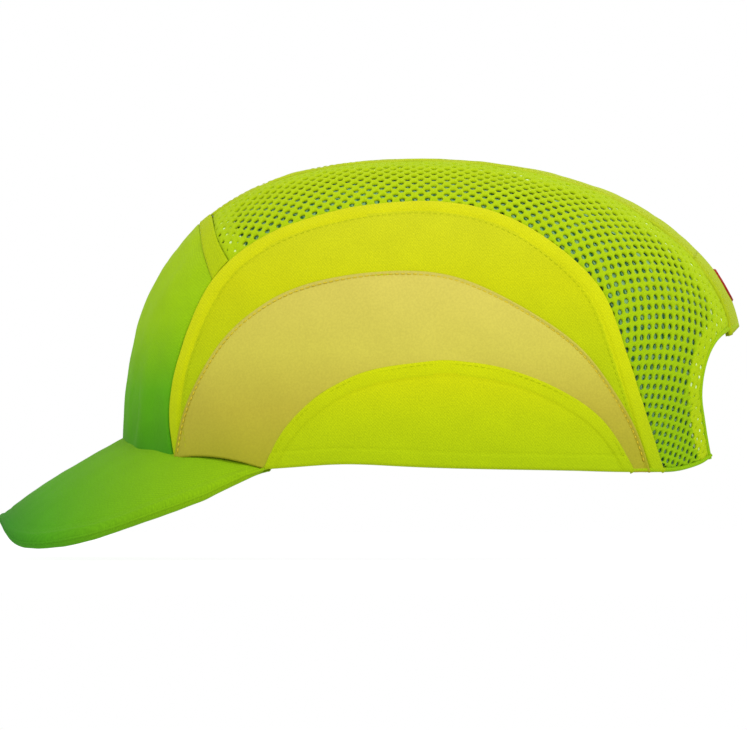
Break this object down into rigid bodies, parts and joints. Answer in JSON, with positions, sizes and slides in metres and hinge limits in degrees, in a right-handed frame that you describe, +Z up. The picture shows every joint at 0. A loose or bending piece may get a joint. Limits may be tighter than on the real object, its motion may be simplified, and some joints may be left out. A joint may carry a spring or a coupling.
{
  "type": "bump cap",
  "caption": "Sewn safety cap with a short peak, a ventilated mesh crown, a removable padded bump shell and a rear strap that folds back through a ring on hook and loop.",
  "frame": {"origin": "centre of the head opening, on the hem", "axes": "+Z up through the crown, -Y out over the peak, +X to the wearer's left"},
  "size_m": [0.1794, 0.266, 0.1398],
  "materials": {
    "front_twill": "matte twill weave",
    "side_twill": "matte twill weave",
    "peak_twill": "matte twill weave",
    "spacer_mesh": "open knit spacer mesh",
    "reflective_tape": "glass bead reflective, soft sheen",
    "lining_tape": "matte woven tape",
    "sweatband_fabric": "brushed terry over thin foam",
    "label_satin": "satin",
    "woven_patch": "woven, plain",
    "hook_and_loop": "pile",
    "strap_webbing": "ribbed webbing",
    "stiffener": "plain sheet",
    "edge_cord": "plain",
    "ring_plastic": "satin moulded",
    "shell_plastic": "fine grained moulded",
    "pad_foam": "closed cell foam",
    "tab_rubber": "moulded, ribbed"
  },
  "bodies": {
    "cover": {"front_panel": "front_twill", "front_seam_strip": "side_twill", "side_panel_left": "side_twill", "side_panel_right": "side_twill", "lower_panel_left": "side_twill", "lower_panel_right": "side_twill", "reflective_band_left": "reflective_tape", "reflective_band_right": "reflective_tape", "crown_mesh_left": "spacer_mesh", "crown_mesh_right": "spacer_mesh", "crown_strip": "side_twill", "rear_yoke": "side_twill", "arch_facing": "spacer_mesh", "hem_tape": "lining_tape", "sweatband": "sweatband_fabric", "care_label": "label_satin", "rear_patch": "woven_patch", "loop_dots": "hook_and_loop", "peak_top_cover": "peak_twill", "peak_under_cover": "peak_twill", "peak_board": "stiffener", "peak_edge_cord": "edge_cord", "strap_run": "strap_webbing", "loop_patch": "hook_and_loop", "strap_ring": "ring_plastic", "ring_tab": "strap_webbing"},
    "insert": {"bump_shell": "shell_plastic", "crown_pad_left": "pad_foam", "crown_pad_centre": "pad_foam", "crown_pad_right": "pad_foam", "front_pad": "pad_foam", "rear_pad": "pad_foam", "side_pad_left": "pad_foam", "side_pad_right": "pad_foam", "hook_dots": "hook_and_loop"},
    "strap_end": {"strap_fold": "strap_webbing"},
    "strap_free_tail": {"strap_tail": "strap_webbing", "hook_patch": "hook_and_loop", "pull_tab": "tab_rubber"}
  },
  "joints": [
    {"name": "insert_removal", "type": "slide", "parent": "cover", "child": "insert", "axis": [0, 0, -1], "range_m": [0, 0.145]},
    {"name": "strap_peel", "type": "hinge", "parent": "cover", "child": "strap_end", "pos_m": [0.0345, 0.09495, 0.014], "axis": [0, 0, -1], "range_deg": [0, 110]},
    {"name": "strap_slip", "type": "slide", "parent": "strap_end", "child": "strap_free_tail", "axis": [-1, 0, 0], "range_m": [0, 0.015]}
  ]
}
